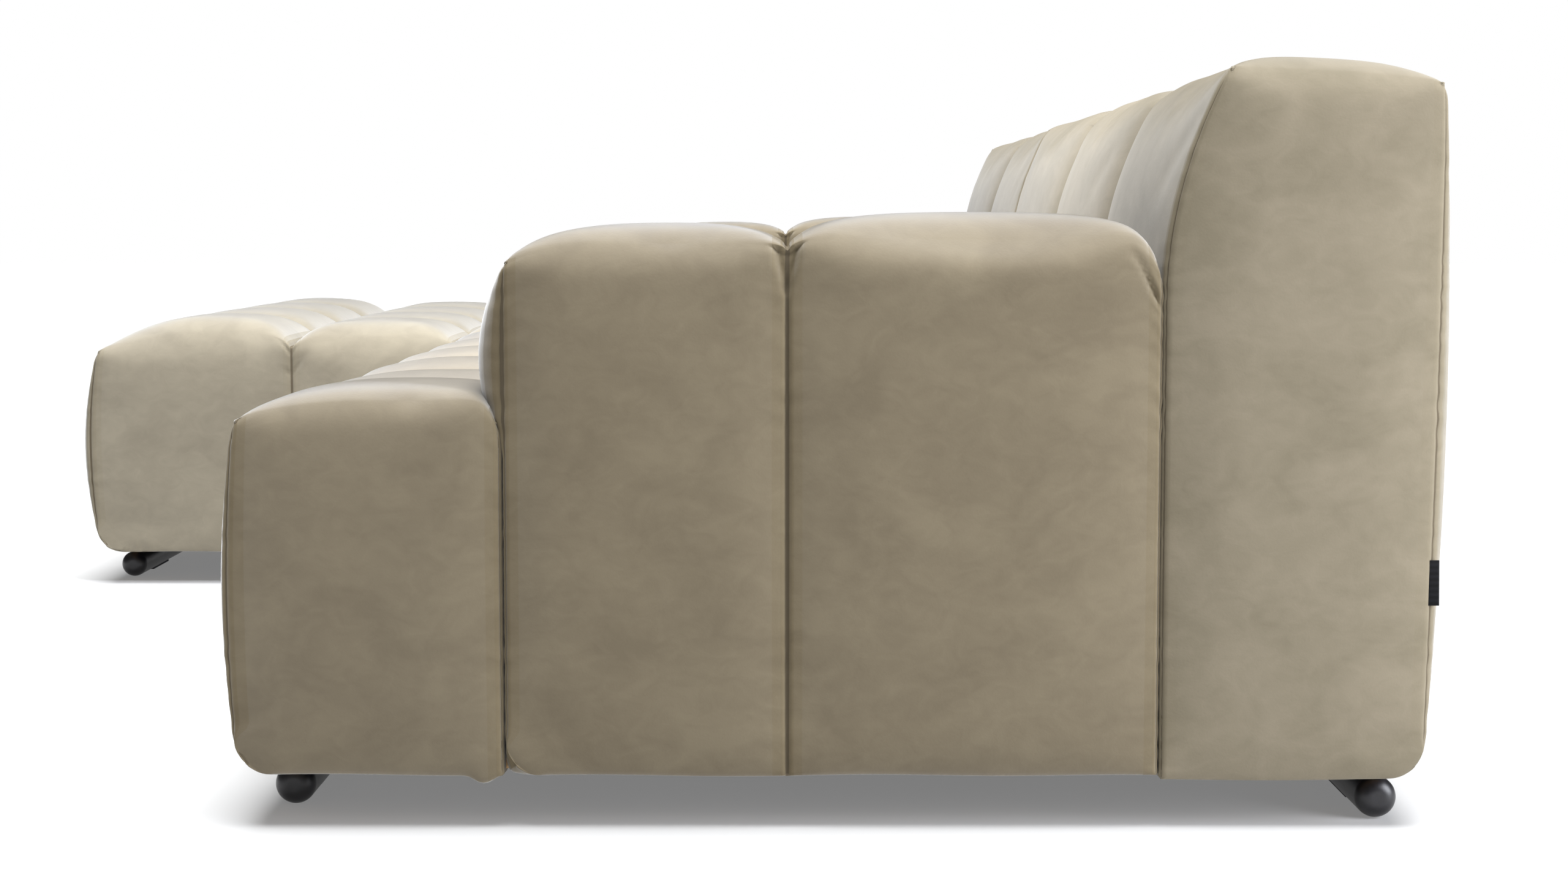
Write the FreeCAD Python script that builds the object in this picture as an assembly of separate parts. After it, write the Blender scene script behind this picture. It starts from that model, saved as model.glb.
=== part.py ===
import FreeCAD, Part
import os
from FreeCAD import Vector

# Channel-tufted lounge sofa with a chaise, in two units that hook together.
# Millimetres. +X runs along the sofa towards the sofa unit's arm, -Y is the front, +Z is up.
# The origin is on the floor, under the middle of the whole sofa.

# Driving dimensions: plan
LENGTH = 2700.0             # over both ends
PITCH = 270.0               # one seat channel, and the width of an arm
BACK_PITCH = 2 * PITCH      # one back channel
END_CROWN = 10.0            # how far an end panel swells past its seams
END_X = LENGTH / 2 - END_CROWN
UNIT_X = -PITCH             # plane between the chaise unit and the sofa unit
UNIT_GAP = 1.0              # from that plane to each unit's cover
UNIT_LINING = 6.0           # from that plane to each unit's frame
CHAISE_FRONT_Y = -835.0
CHAISE_ROW_Y = -528.0
SEAT_FRONT_Y = -266.0
ARM_FRONT_Y = -19.0
ARM_ROW_Y = 250.0
BACK_FRONT_Y = 601.0
REAR_Y = 848.0
COVER_GAP = 1.0             # between one cover and the next

# Driving dimensions: heights
COVER_BOTTOM = 50.0
SEAT_EDGE = 399.0           # seat skin at the front edge of a channel
SEAT_CROWN = 19.0           # rise of the seat between its row seams
CHAISE_EDGE = 378.0
CHAISE_CROWN = 40.0
ROW_SEAM = 388.0            # seat skin in a row seam
ROW_CROWN = 30.0
ARM_EDGE = 548.0
ARM_CROWN = 29.0
BACK_FOOT = 553.0           # where the back starts to lean away
BACK_EDGE_FRONT = (650.0, 718.0)
BACK_EDGE_REAR = 708.0
BACK_CROWN = 17.0

# Driving dimensions: how the skins swell and draw in
CHANNEL_DEPTH = 16.0        # seat skin drawn in at a channel seam
BACK_CHANNEL_DEPTH = 20.0
END_ROLL = 8.0              # skin drawn in at an end panel's seams
SEAT_SWELL = 19.0
CHAISE_SWELL = 25.0
ARM_SWELL = 13.0
BACK_SWELL = 10.0
REAR_SWELL = 12.0
HEM_RADIUS = 30.0
QUARTER_RISE = 1 - 0.5 ** 0.5   # rise of a quarter arc over its chord, as a share of its radius
PUFF_POWER = 4              # how squarely a channel bulges between its seams
STATIONS = (0.0, 0.1, 0.25, 0.5, 0.75, 0.9, 1.0)    # sections along one channel
END_STEPS = ((0.0, 0.0), (0.6, 14.0), (0.9, 42.0), (1.0, 80.0))   # share of END_CROWN, and draw

# Driving dimensions: frame, foam and feet
WALL = 18.0                 # quilted cover outside the frame
CAP_WALL = 6.0              # cover round the seat slab, where it is out of sight
RAIL = 28.0
RAIL_BOTTOM = 54.0
RAIL_TOP = 230.0
CROSS_TOP = 200.0
STRAP = 3.0
STRAP_WIDTH = 60.0
STRAP_GAP = 55.0
DECK = RAIL_TOP + STRAP
SEAT_FOAM_TOP = 360.0
ARM_FOAM_TOP = 515.0
ARM_END_FOAM = 30.0
BACK_FOAM_TOP = 672.0
BACK_FOAM_FRONT = 662.0
POST = 45.0
POST_BOTTOM = 60.0
ARM_BOARD = 22.0
ARM_BOARD_TOP = 490.0
BACK_RAIL = 28.0
BACK_POST_TOP = 640.0
BACK_PANEL = 6.0
BLOCK_LEG = 80.0
DUST_SHEET = 2.0
DUST_LAP = 5.0
ROD_RADIUS = 20.0
ROD_LENGTH = 300.0
ROD_ROUND = 14.0            # how far a foot bar's ends are rounded off
ROD_INSET = {"front": 98.0, "rear": 40.0}   # from the end of the sofa to the end of a foot bar
ROD_INNER_INSET = 71.0      # from the join of the two units to the end of a foot bar
ROD_Z = 21.0
ROD_FLAT_TOP = 39.0
GLIDE = 3.0
GLIDE_LENGTH = 100.0
SEAT_OFFSET = 90.0          # from the middle of a foot bar to its seats
SEAT_LENGTH = 60.0
SEAT_WIDTH = 16.0

# Driving dimensions: fasteners and connectors
BOLT_RADIUS = 4.0
BOLT_HEAD_RADIUS = 7.0
BOLT_HEAD = 6.0
BOLT_ROOM = 0.6             # round a bolt in its hole
FOOT_BOLT_LENGTH = 90.0
FRAME_BOLT_LENGTH = 66.0
BOLT_LEVELS = (110.0, 185.0)
PLATE = 3.0
PLATE_WIDTH = 90.0
PLATE_BOTTOM = 75.0
PLATE_TOP = 165.0
TONGUE_WIDTH = 40.0
TONGUE_BOTTOM = 110.0
BRIDGE_TOP = 148.0
SLIDE_ROOM = 0.4            # between the hook's tongue and the catch
CONNECTOR_Y = (120.0, 470.0)
SCREW_RADIUS = 2.2
SCREW_HEAD_RADIUS = 4.4
SCREW_HEAD = 2.4
SCREW_LENGTH = 22.0
SCREW_INSET = 12.0
TAB_Y = (845.0, 855.0)
TAB_Z = (213.0, 256.0)
TAB_THICK = 1.5

UP = Vector(0, 0, 1)


class Unit:
    """One half of the sofa: its outer seam planes, frame planes and the side its arm is on."""

    def __init__(self, name, x_low, x_high, front, arm_side, post_xs, cross_xs):
        self.name = name
        self.x_low, self.x_high = x_low, x_high
        self.front = front
        self.arm_side = arm_side
        self.post_xs, self.cross_xs = post_xs, cross_xs
        self.frame_low = x_low + WALL if arm_side < 0 else UNIT_X + UNIT_LINING
        self.frame_high = UNIT_X - UNIT_LINING if arm_side < 0 else x_high - WALL
        self.frame_front, self.frame_rear = front + WALL, REAR_Y - WALL

    def arm_span(self):
        """Lowest and highest X of the arm cover."""
        inner = END_X + END_CROWN - PITCH + COVER_GAP
        return (inner, END_X) if self.arm_side > 0 else (-END_X, -inner)

    def seat_span(self):
        """Lowest and highest X of the seat between the arm and the other unit."""
        inner = END_X + END_CROWN - PITCH
        return (self.x_low, inner) if self.arm_side > 0 else (-inner, self.x_high)

    def rod_starts(self, place):
        """Lowest X of the left and the right foot bars, at the front or the rear."""
        outer = ROD_INSET[place]
        if self.arm_side > 0:
            return {"left": self.x_low + ROD_INNER_INSET, "right": LENGTH / 2 - outer - ROD_LENGTH}
        return {"left": -LENGTH / 2 + outer, "right": self.x_high - ROD_INNER_INSET - ROD_LENGTH}


SOFA = Unit("sofa", UNIT_X + UNIT_GAP, END_X, SEAT_FRONT_Y, 1,
            (-120.0, 320.0, 760.0, 1180.0), (130.0, 560.0))
CHAISE = Unit("chaise", -END_X, UNIT_X - UNIT_GAP, CHAISE_FRONT_Y, -1,
              (-1180.0, -790.0, -440.0), ())
UNITS = (SOFA, CHAISE)


def save(shape, node):
    """Write one sub-part."""
    shape.exportStep(f"parts/{node}.step")


def box(x0, x1, y0, y1, z0, z1):
    """A block between two corners."""
    return Part.makeBox(x1 - x0, y1 - y0, z1 - z0, Vector(x0, y0, z0))


def rod(radius, length, start, direction):
    """A plain round bar."""
    return Part.makeCylinder(radius, length, start, direction)


# Quilted covers


def outline_wire(corners, inset, x):
    """The cover's cross-section at x: corners hold y, z, the swell of the edge that follows, and
    how far the corner moves in y and z when the skin is drawn in by inset."""
    points = [Vector(x, y + inset * pull_y, z + inset * pull_z) for y, z, _, pull_y, pull_z in corners]
    edges = []
    for index, corner in enumerate(corners):
        start, end = points[index], points[(index + 1) % len(points)]
        swell = corner[2]
        if swell:
            along = end - start
            outward = Vector(0, along.z, -along.y).normalize()
            middle = (start + end) * 0.5 + outward * swell
            edges.append(Part.Arc(start, middle, end).toShape())
        else:
            edges.append(Part.LineSegment(start, end).toShape())
    return Part.Wire(edges)


def channel(corners, x0, x1, draw0, draw1):
    """One padded channel between two seams, crowned in the middle and drawn in at both."""
    sections = []
    for station in STATIONS:
        draw = draw0 if station < 0.5 else draw1
        inset = draw * (2 * station - 1) ** PUFF_POWER
        sections.append(outline_wire(corners, inset, x0 + station * (x1 - x0)))
    return Part.makeLoft(sections, True, False)


def end_panel(corners, x, side):
    """The swell of an end panel beyond its seams."""
    sections = [outline_wire(corners, END_ROLL + draw, x + side * END_CROWN * reach)
                for reach, draw in END_STEPS]
    return Part.makeLoft(sections, True, False)


def quilted(corners, seams, depth, low_end, high_end):
    """A cover of channels side by side, with a swelling panel at each end that is free."""
    last = len(seams) - 2
    pieces = []
    for index in range(last + 1):
        draw0 = END_ROLL if index == 0 else depth
        draw1 = END_ROLL if index == last else depth
        pieces.append(channel(corners, seams[index], seams[index + 1], draw0, draw1))
    if low_end:
        pieces.append(end_panel(corners, seams[0], -1))
    if high_end:
        pieces.append(end_panel(corners, seams[-1], 1))
    whole = pieces[0]
    if len(pieces) > 1:
        whole = whole.multiFuse(pieces[1:])
    return whole.Solids[0]


def channel_seams(low, high, pitch):
    """Seam planes at every pitch from the middle of the sofa, between two end planes."""
    count = int(LENGTH / pitch)
    grid = [-LENGTH / 2 + pitch * step for step in range(count + 1)]
    inside = [x for x in grid if low + pitch / 4 < x < high - pitch / 4]
    return [low] + inside + [high]


def hem(front):
    """The cover's lower edge, rolled under at the front."""
    return [(front + HEM_RADIUS, COVER_BOTTOM, 0, 1, 0)]


def hem_roll(front):
    """The rolled corner that closes the outline at the front."""
    return [(front, COVER_BOTTOM + HEM_RADIUS, HEM_RADIUS * QUARTER_RISE, 1, 0)]


def front_cover(unit):
    """The rows in front of the arm, down to the floor gap, open below and behind."""
    back = ARM_FRONT_Y - COVER_GAP
    corners = hem(unit.front) + [(back, COVER_BOTTOM, 0, 0, 0)]
    if unit is SOFA:
        corners += [(back, SEAT_EDGE, SEAT_CROWN, 0, -1), (unit.front, SEAT_EDGE, SEAT_SWELL, 1, -1)]
    else:
        corners += [(back, ROW_SEAM, ROW_CROWN, 0, -1),
                    (SEAT_FRONT_Y, ROW_SEAM, ROW_CROWN, 0, -1),
                    (CHAISE_ROW_Y, ROW_SEAM, (ROW_CROWN + CHAISE_CROWN) / 2, 0, -1),
                    (unit.front, CHAISE_EDGE, CHAISE_SWELL, 1, -1)]
    corners += hem_roll(unit.front)
    seams = channel_seams(unit.x_low, unit.x_high, PITCH)
    skin = quilted(corners, seams, CHANNEL_DEPTH, unit is CHAISE, unit is SOFA)
    inside = box(unit.frame_low, unit.frame_high, unit.frame_front, ARM_FRONT_Y + WALL, 0, SEAT_FOAM_TOP)
    return skin.cut(inside)


def seat_cover(unit):
    """The sitting rows between arm and unit seam, a cap open below and in front."""
    front, back = ARM_FRONT_Y, BACK_FRONT_Y - COVER_GAP
    corners = [(front, DECK, 0, 0, 0),
               (back, DECK, 0, 0, 0),
               (back, ROW_SEAM, ROW_CROWN, 0, -1),
               (ARM_ROW_Y, ROW_SEAM, ROW_CROWN, 0, -1),
               (front, ROW_SEAM, 0, 0, -1)]
    low, high = unit.seat_span()
    skin = quilted(corners, channel_seams(low, high, PITCH), CHANNEL_DEPTH, False, False)
    inside = box(low + CAP_WALL, high - CAP_WALL, front - WALL, back - CAP_WALL, 0, SEAT_FOAM_TOP)
    return skin.cut(inside)


def arm_cover(unit):
    """The arm in two segments, full height outside and down to the seat frame elsewhere."""
    low, high = unit.arm_span()
    front, back = ARM_FRONT_Y, BACK_FRONT_Y - COVER_GAP
    corners = hem(front) + [(back, COVER_BOTTOM, 0, 0, 0),
                            (back, ARM_EDGE, ARM_CROWN, 0, -1),
                            (ARM_ROW_Y, ARM_EDGE, ARM_CROWN, 0, -1),
                            (front, ARM_EDGE, ARM_SWELL, 0, -1),
                            (front, SEAT_EDGE, 0, 0, 0)] + hem_roll(front)
    skin = quilted(corners, [low, high], CHANNEL_DEPTH, unit is CHAISE, unit is SOFA)
    frame_low, frame_high = max(low + WALL, unit.frame_low), min(high - WALL, unit.frame_high)
    inside = box(frame_low, frame_high, front + WALL, back - WALL, 0, ARM_FOAM_TOP)
    below_low = frame_low if unit is CHAISE else low - WALL
    below_high = frame_high if unit is SOFA else high + WALL
    below = box(below_low, below_high, front - WALL, back + WALL, 0, DECK)
    return skin.cut(inside).cut(below)


def back_cover(unit):
    """The back in wide channels, leaning away above the arms, open below."""
    front = BACK_FRONT_Y + COVER_GAP
    edge_y, edge_z = BACK_EDGE_FRONT
    corners = [(front, COVER_BOTTOM, 0, 0, 0),
               (REAR_Y - HEM_RADIUS, COVER_BOTTOM, HEM_RADIUS * QUARTER_RISE, -1, 0),
               (REAR_Y, COVER_BOTTOM + HEM_RADIUS, REAR_SWELL, -1, 0),
               (REAR_Y, BACK_EDGE_REAR, BACK_CROWN, -1, -1),
               (edge_y, edge_z, BACK_SWELL, 1, -1),
               (front, BACK_FOOT, 0, 0, 0)]
    seams = channel_seams(unit.x_low, unit.x_high, BACK_PITCH)
    skin = quilted(corners, seams, BACK_CHANNEL_DEPTH, unit is CHAISE, unit is SOFA)
    inside = box(unit.frame_low, unit.frame_high, BACK_FOAM_FRONT, unit.frame_rear, 0, BACK_FOAM_TOP)
    below = box(unit.frame_low, unit.frame_high, front - WALL, BACK_FOAM_FRONT, 0, DECK)
    return skin.cut(inside).cut(below)


def seam_tab():
    """A blank woven tab sewn into the rear corner seam."""
    return box(END_X - TAB_THICK, END_X, TAB_Y[0], TAB_Y[1], TAB_Z[0], TAB_Z[1])


def make_covers():
    tab = seam_tab()
    for unit in UNITS:
        save(front_cover(unit), f"{unit.name}_front_cover")
        save(seat_cover(unit), f"{unit.name}_seat_cover")
        save(arm_cover(unit), "right_arm_cover" if unit is SOFA else "left_arm_cover")
        save(back_cover(unit).cut(tab), f"{unit.name}_back_cover")
    save(tab, "seam_tab")


# Foam


def arm_frame_span(unit):
    """Lowest and highest X of the arm's timber, on the end rail's inner face and the arm's cross rail."""
    inner = END_X + END_CROWN - PITCH + RAIL + WALL + COVER_GAP
    outer = END_X - WALL - RAIL
    return (inner, outer) if unit.arm_side > 0 else (-outer, -inner)


def arm_frame_y():
    """Front and rear of the arm's timber."""
    return ARM_FRONT_Y + WALL + ARM_END_FOAM, BACK_FRONT_Y - COVER_GAP - WALL - ARM_END_FOAM


def seat_foam(unit):
    """One slab under the front rows and the seat, stepped round the arm."""
    front_part = box(unit.frame_low, unit.frame_high, unit.frame_front, ARM_FRONT_Y - COVER_GAP,
                     DECK, SEAT_FOAM_TOP)
    low, high = unit.seat_span()
    rear_part = box(low + CAP_WALL, high - CAP_WALL, ARM_FRONT_Y - COVER_GAP,
                    BACK_FRONT_Y - COVER_GAP - CAP_WALL, DECK, SEAT_FOAM_TOP)
    return front_part.fuse(rear_part).removeSplitter()


def arm_foam(unit):
    """A cap over the arm's timber."""
    low, high = unit.arm_span()
    cap_low, cap_high = max(low + WALL, unit.frame_low), min(high - WALL, unit.frame_high)
    front, back = ARM_FRONT_Y + WALL, BACK_FRONT_Y - COVER_GAP - WALL
    cap = box(cap_low, cap_high, front, back, DECK, ARM_FOAM_TOP)
    timber_low, timber_high = arm_frame_span(unit)
    timber_front, timber_rear = arm_frame_y()
    return cap.cut(box(timber_low, timber_high, timber_front, timber_rear, 0, ARM_BOARD_TOP))


def back_foam(unit):
    """A slab in front of the back panel."""
    panel_front = unit.frame_rear - RAIL - POST - BACK_PANEL
    return box(unit.frame_low, unit.frame_high, BACK_FOAM_FRONT, panel_front, DECK, BACK_FOAM_TOP)


def make_foam():
    for unit in UNITS:
        save(seat_foam(unit), f"{unit.name}_seat_foam")
        save(arm_foam(unit), "right_arm_foam" if unit is SOFA else "left_arm_foam")
        save(back_foam(unit), f"{unit.name}_back_foam")


# Bolts and their holes


def bolt(start, direction, length):
    """A cap-head bolt whose head sits at start and whose shank runs along direction."""
    head = rod(BOLT_HEAD_RADIUS, BOLT_HEAD, start, direction)
    shank = rod(BOLT_RADIUS, length - BOLT_HEAD, start + direction * BOLT_HEAD, direction)
    return head.fuse(shank).removeSplitter()


def bolt_hole(start, direction, length):
    """Room for a bolt, with its head let in."""
    head = rod(BOLT_HEAD_RADIUS + BOLT_ROOM, BOLT_HEAD, start, direction)
    shank = rod(BOLT_RADIUS + BOLT_ROOM, length + BOLT_ROOM, start, direction)
    return head.fuse(shank)


def foot_rail_y(unit):
    """Centre lines of the front and the rear rail, over the foot bars."""
    return {"front": unit.frame_front + RAIL / 2, "rear": unit.frame_rear - RAIL / 2}


def foot_seat_xs(unit, place):
    """X of every foot seat along the front or the rear rail."""
    middles = [start + ROD_LENGTH / 2 for start in unit.rod_starts(place).values()]
    return [middle + side * SEAT_OFFSET for middle in middles for side in (-1, 1)]


def foot_bolt_starts(unit):
    """Undersides of the foot bolts' heads, let into the foot bars."""
    head_bottom = ROD_Z - ROD_RADIUS + GLIDE
    return [Vector(x, y, head_bottom) for place, y in foot_rail_y(unit).items()
            for x in foot_seat_xs(unit, place)]


def arm_bolt_starts(unit):
    """Head faces and directions of the bolts through the end rail and the arm's cross rail into the posts."""
    timber_low, timber_high = arm_frame_span(unit)
    front, rear = arm_frame_y()
    starts = []
    for y in (front + POST / 2, rear - POST / 2):
        for z in BOLT_LEVELS:
            starts.append((Vector(timber_high + RAIL, y, z), Vector(-1, 0, 0)))
            starts.append((Vector(timber_low - RAIL, y, z), Vector(1, 0, 0)))
    return starts


def back_bolt_starts(unit):
    """Head faces and directions of the bolts through the rear rail into the back posts."""
    direction = Vector(0, -1, 0)
    return [(Vector(x, unit.frame_rear, z), direction) for x in unit.post_xs for z in BOLT_LEVELS]


def drilled(shape, unit):
    """A frame member with the holes of every bolt that crosses it."""
    holes = [bolt_hole(start, UP, FOOT_BOLT_LENGTH) for start in foot_bolt_starts(unit)]
    for start, direction in arm_bolt_starts(unit) + back_bolt_starts(unit):
        holes.append(bolt_hole(start, direction, FRAME_BOLT_LENGTH))
    crossing = [hole for hole in holes if hole.BoundBox.intersect(shape.BoundBox)]
    return shape.cut(crossing) if crossing else shape


# Timber frame


def end_rail_xs(unit):
    """Lowest X of the left and the right end rail."""
    return unit.frame_low, unit.frame_high - RAIL


def end_rails(unit):
    rails = []
    for x in end_rail_xs(unit):
        rail = box(x, x + RAIL, unit.frame_front + RAIL, unit.frame_rear - RAIL, RAIL_BOTTOM, RAIL_TOP)
        rails.append(drilled(rail.cut(connector_screw_holes()), unit))
    return Part.makeCompound(rails)


def arm_cross_rail(unit, front):
    """The rail that carries the inner arm posts."""
    timber_low, timber_high = arm_frame_span(unit)
    x = timber_low - RAIL if unit is SOFA else timber_high
    return box(x, x + RAIL, front, unit.frame_rear - RAIL, RAIL_BOTTOM, RAIL_TOP)


def cross_rails(unit):
    """Rails across the base, set low under the webbing so that it can give."""
    low, high = unit.frame_low + RAIL, unit.frame_high - RAIL
    front, rear = unit.frame_front + RAIL, unit.frame_rear - RAIL
    rails = []
    if unit is SOFA:
        rails.append(arm_cross_rail(unit, front))
        for x in unit.cross_xs:
            rails.append(box(x, x + RAIL, front, rear, RAIL_BOTTOM, CROSS_TOP))
    else:
        middle = ARM_FRONT_Y - RAIL
        rails.append(box(low, high, middle, middle + RAIL, RAIL_BOTTOM, CROSS_TOP))
        rails.append(arm_cross_rail(unit, middle + RAIL))
        halfway = (front + middle - RAIL) / 2
        rails.append(box(low, high, halfway, halfway + RAIL, RAIL_BOTTOM, CROSS_TOP))
    return Part.makeCompound([drilled(rail, unit) for rail in rails])


def corner_blocks(unit):
    """Three-cornered glue blocks inside the base's corners."""
    low, high = unit.frame_low + RAIL, unit.frame_high - RAIL
    front, rear = unit.frame_front + RAIL, unit.frame_rear - RAIL
    blocks = []
    for x, turn_x in ((low, 1), (high, -1)):
        for y, turn_y in ((front, 1), (rear, -1)):
            corner = Vector(x, y, POST_BOTTOM)
            along_x = Vector(x + turn_x * BLOCK_LEG, y, POST_BOTTOM)
            along_y = Vector(x, y + turn_y * BLOCK_LEG, POST_BOTTOM)
            face = Part.Face(Part.makePolygon([corner, along_x, along_y, corner]))
            blocks.append(face.extrude(UP * (CROSS_TOP - POST_BOTTOM)))
    return Part.makeCompound(blocks)


def strap_starts(low, high, blocked):
    """Evenly stepped straps between two limits, without those that would meet a post."""
    step = STRAP_WIDTH + STRAP_GAP
    count = int((high - low + STRAP_GAP) / step)
    spare = high - low - count * step + STRAP_GAP
    starts = [low + spare / 2 + index * step for index in range(count)]
    return [start for start in starts
            if all(start + STRAP_WIDTH < post_low or start > post_high for post_low, post_high in blocked)]


def webbing(unit):
    """Elastic straps over the rails: front to back in the sofa unit, side to side in the chaise unit."""
    straps = []
    if unit is SOFA:
        blocked = [(x - POST / 2, x + POST / 2) for x in unit.post_xs]
        for x in strap_starts(unit.frame_low + RAIL, unit.seat_span()[1], blocked):
            straps.append(box(x, x + STRAP_WIDTH, unit.frame_front, unit.frame_rear, RAIL_TOP, DECK))
    else:
        front, rear = arm_frame_y()
        blocked = [(front, front + POST), (rear - POST, rear)]
        last = unit.frame_rear - RAIL - POST - BACK_PANEL
        for y in strap_starts(unit.frame_front + RAIL, last, blocked):
            straps.append(box(unit.frame_low, unit.frame_high, y, y + STRAP_WIDTH, RAIL_TOP, DECK))
    return Part.makeCompound(straps)


def arm_posts(unit):
    timber_low, timber_high = arm_frame_span(unit)
    front, rear = arm_frame_y()
    posts = []
    for x in (timber_low, timber_high - POST):
        for y in (front, rear - POST):
            post = box(x, x + POST, y, y + POST, POST_BOTTOM, ARM_BOARD_TOP - ARM_BOARD)
            posts.append(drilled(post, unit))
    return Part.makeCompound(posts)


def arm_board(unit):
    """The board under the arm's top foam, with its edges eased."""
    timber_low, timber_high = arm_frame_span(unit)
    front, rear = arm_frame_y()
    board = box(timber_low, timber_high, front, rear, ARM_BOARD_TOP - ARM_BOARD, ARM_BOARD_TOP)
    top_edges = [edge for edge in board.Edges if edge.BoundBox.ZMin > ARM_BOARD_TOP - ARM_BOARD / 2]
    return board.makeFillet(ARM_BOARD / 4, top_edges)


def back_posts(unit):
    rear = unit.frame_rear - RAIL
    posts = []
    for x in unit.post_xs:
        post = box(x - POST / 2, x + POST / 2, rear - POST, rear, POST_BOTTOM, BACK_POST_TOP)
        posts.append(drilled(post, unit))
    return Part.makeCompound(posts)


def back_rail_span(unit):
    """Lowest and highest X of the back's top rail and panel."""
    return unit.frame_low + RAIL, unit.frame_high - RAIL


def back_top_rail(unit):
    """The rail along the top of the back, rounded where the foam turns over it."""
    low, high = back_rail_span(unit)
    front = unit.frame_rear - RAIL - POST
    rail = box(low, high, front, unit.frame_rear, BACK_POST_TOP, BACK_POST_TOP + BACK_RAIL)
    upper = [edge for edge in rail.Edges
             if edge.BoundBox.ZMin > BACK_POST_TOP and edge.Length > RAIL + POST]
    return rail.makeFillet(BACK_RAIL / 3, upper)


def back_panel(unit):
    low, high = back_rail_span(unit)
    front = unit.frame_rear - RAIL - POST - BACK_PANEL
    return box(low, high, front, front + BACK_PANEL, DECK, BACK_POST_TOP + BACK_RAIL)


def dust_sheet(unit):
    """The thin black sheet that closes the underside."""
    inner = RAIL - DUST_LAP
    return box(unit.frame_low + inner, unit.frame_high - inner, unit.frame_front + inner,
               unit.frame_rear - inner, RAIL_BOTTOM - DUST_SHEET, RAIL_BOTTOM)


def frame_bolts(unit):
    starts = arm_bolt_starts(unit) + back_bolt_starts(unit)
    return Part.makeCompound([bolt(start, direction, FRAME_BOLT_LENGTH) for start, direction in starts])


def make_frame():
    for unit in UNITS:
        name = unit.name
        arm = "right_arm" if unit is SOFA else "left_arm"
        low, high = unit.frame_low, unit.frame_high
        front_rail = box(low, high, unit.frame_front, unit.frame_front + RAIL, RAIL_BOTTOM, RAIL_TOP)
        rear_rail = box(low, high, unit.frame_rear - RAIL, unit.frame_rear, RAIL_BOTTOM, RAIL_TOP)
        save(drilled(front_rail, unit), f"{name}_front_rail")
        save(drilled(rear_rail, unit), f"{name}_rear_rail")
        save(end_rails(unit), f"{name}_end_rails")
        save(cross_rails(unit), f"{name}_cross_rails")
        save(corner_blocks(unit), f"{name}_corner_blocks")
        save(webbing(unit), f"{name}_seat_webbing")
        save(arm_posts(unit), f"{arm}_posts")
        save(arm_board(unit), f"{arm}_top_board")
        save(back_posts(unit), f"{name}_back_posts")
        save(back_top_rail(unit), f"{name}_back_top_rail")
        save(back_panel(unit), f"{name}_back_panel")
        save(dust_sheet(unit), f"{name}_dust_sheet")
        save(frame_bolts(unit), f"{name}_frame_bolts")


# Feet


def foot_bar(unit, x, y):
    """A round bar lying along the sofa, domed at both ends, flatted for its seats and its glide."""
    middle = x + ROD_LENGTH / 2
    bar = rod(ROD_RADIUS, ROD_LENGTH, Vector(x, y, ROD_Z), Vector(1, 0, 0))
    rims = [edge for edge in bar.Edges if edge.BoundBox.XLength < 1]
    bar = bar.makeFillet(ROD_ROUND, rims)
    for side in (-1, 1):
        seat_x = middle + side * SEAT_OFFSET
        bar = bar.cut(box(seat_x - SEAT_LENGTH / 2, seat_x + SEAT_LENGTH / 2, y - ROD_RADIUS, y + ROD_RADIUS,
                          ROD_FLAT_TOP, ROD_FLAT_TOP + ROD_RADIUS))
    bar = bar.cut(box(middle - GLIDE_LENGTH / 2, middle + GLIDE_LENGTH / 2, y - ROD_RADIUS, y + ROD_RADIUS,
                      -ROD_RADIUS, GLIDE))
    wells = [rod(BOLT_HEAD_RADIUS + BOLT_ROOM, ROD_RADIUS, start - UP * (ROD_RADIUS - BOLT_HEAD), UP)
             for start in foot_bolt_starts(unit)]
    wells = [well for well in wells if well.BoundBox.intersect(bar.BoundBox)]
    return drilled(bar.cut(wells), unit)


def foot_seats(unit):
    """Blocks between the foot bars' flats and the rails."""
    seats = []
    for place, y in foot_rail_y(unit).items():
        for x in foot_seat_xs(unit, place):
            seat = box(x - SEAT_LENGTH / 2, x + SEAT_LENGTH / 2, y - SEAT_WIDTH / 2, y + SEAT_WIDTH / 2,
                       ROD_FLAT_TOP, RAIL_BOTTOM)
            seats.append(drilled(seat, unit))
    return Part.makeCompound(seats)


def foot_glides(unit):
    """Felt strips under the foot bars, the faces that the sofa stands on."""
    half_width = (ROD_RADIUS ** 2 - (ROD_Z - GLIDE) ** 2) ** 0.5
    glides = []
    for place, y in foot_rail_y(unit).items():
        for start in unit.rod_starts(place).values():
            middle = start + ROD_LENGTH / 2
            glides.append(box(middle - GLIDE_LENGTH / 2, middle + GLIDE_LENGTH / 2, y - half_width,
                              y + half_width, 0, GLIDE))
    return Part.makeCompound(glides)


def make_feet():
    for unit in UNITS:
        for place, y in foot_rail_y(unit).items():
            for side, x in unit.rod_starts(place).items():
                save(foot_bar(unit, x, y), f"{unit.name}_foot_bar_{place}_{side}")
        save(foot_seats(unit), f"{unit.name}_foot_seats")
        save(foot_glides(unit), f"{unit.name}_foot_glides")
        bolts = [bolt(start, UP, FOOT_BOLT_LENGTH) for start in foot_bolt_starts(unit)]
        save(Part.makeCompound(bolts), f"{unit.name}_foot_bolts")


# Connectors between the units: hooks on the chaise unit drop into catches on the sofa unit


def connector_screw_places():
    """Y and Z of the screws in every connector plate."""
    reach = PLATE_WIDTH / 2 - SCREW_INSET
    levels = (PLATE_BOTTOM + SCREW_INSET, PLATE_TOP - SCREW_INSET)
    return [(y + side * reach, z) for y in CONNECTOR_Y for side in (-1, 1) for z in levels]


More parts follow.
